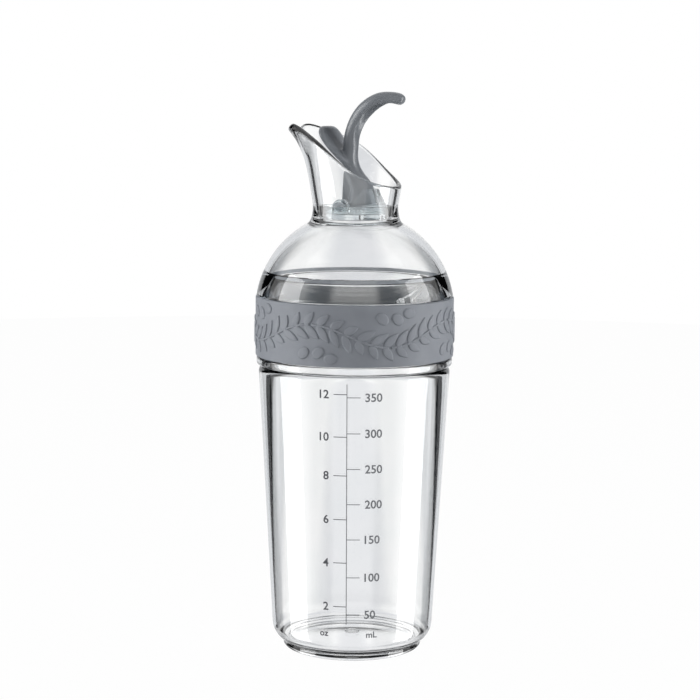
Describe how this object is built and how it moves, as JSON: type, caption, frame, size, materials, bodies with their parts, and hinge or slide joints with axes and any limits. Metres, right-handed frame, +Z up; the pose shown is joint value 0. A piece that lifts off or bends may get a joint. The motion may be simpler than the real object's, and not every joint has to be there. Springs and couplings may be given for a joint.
{
  "type": "oil dispenser bottle",
  "caption": "Clear table bottle for oil or dressing, with a screw-on domed lid, a soft grip band and a pitcher spout closed by a thumb lever.",
  "frame": {"origin": "centre of the foot ring, on the surface the bottle stands on", "axes": "+Z up along the bottle's axis; the spout pours towards -X and the lever's hook points to +X; the hinge pin runs along Y"},
  "size_m": [0.0812, 0.0812, 0.2275],
  "materials": {
    "clear_plastic": "polished clear moulding",
    "tinted_clear_plastic": "polished clear moulding with a faint cool tint",
    "grey_plastic": "glossy",
    "grey_silicone": "soft matt",
    "translucent_silicone": "milky, slightly glossy"
  },
  "bodies": {
    "bottle": {"bottle": "clear_plastic"},
    "lid_gasket": {"lid_gasket": "grey_silicone"},
    "lid": {"lid": "clear_plastic", "grip_band": "grey_silicone", "spout_floor": "tinted_clear_plastic", "hinge_pin": "grey_plastic"},
    "lever": {"lever": "grey_plastic", "stopper": "translucent_silicone"}
  },
  "joints": [
    {"name": "lid_lift", "type": "slide", "parent": "bottle", "child": "lid_gasket", "axis": [0, 0, 1], "range_m": [0, 0.04]},
    {"name": "lid_turn", "type": "hinge", "parent": "lid_gasket", "child": "lid", "pos_m": [0, 0, 0.1171], "axis": [0, 0, 1], "range_deg": [0, 1170]},
    {"name": "lever_tilt", "type": "hinge", "parent": "lid", "child": "lever", "pos_m": [-0.0025, 0, 0.1812], "axis": [0, -1, 0], "range_deg": [0, 12]}
  ],
  "couplings": [
    {"joint": "lid_lift", "follows": "lid_turn", "m_per_rad": 0.0019099}
  ]
}
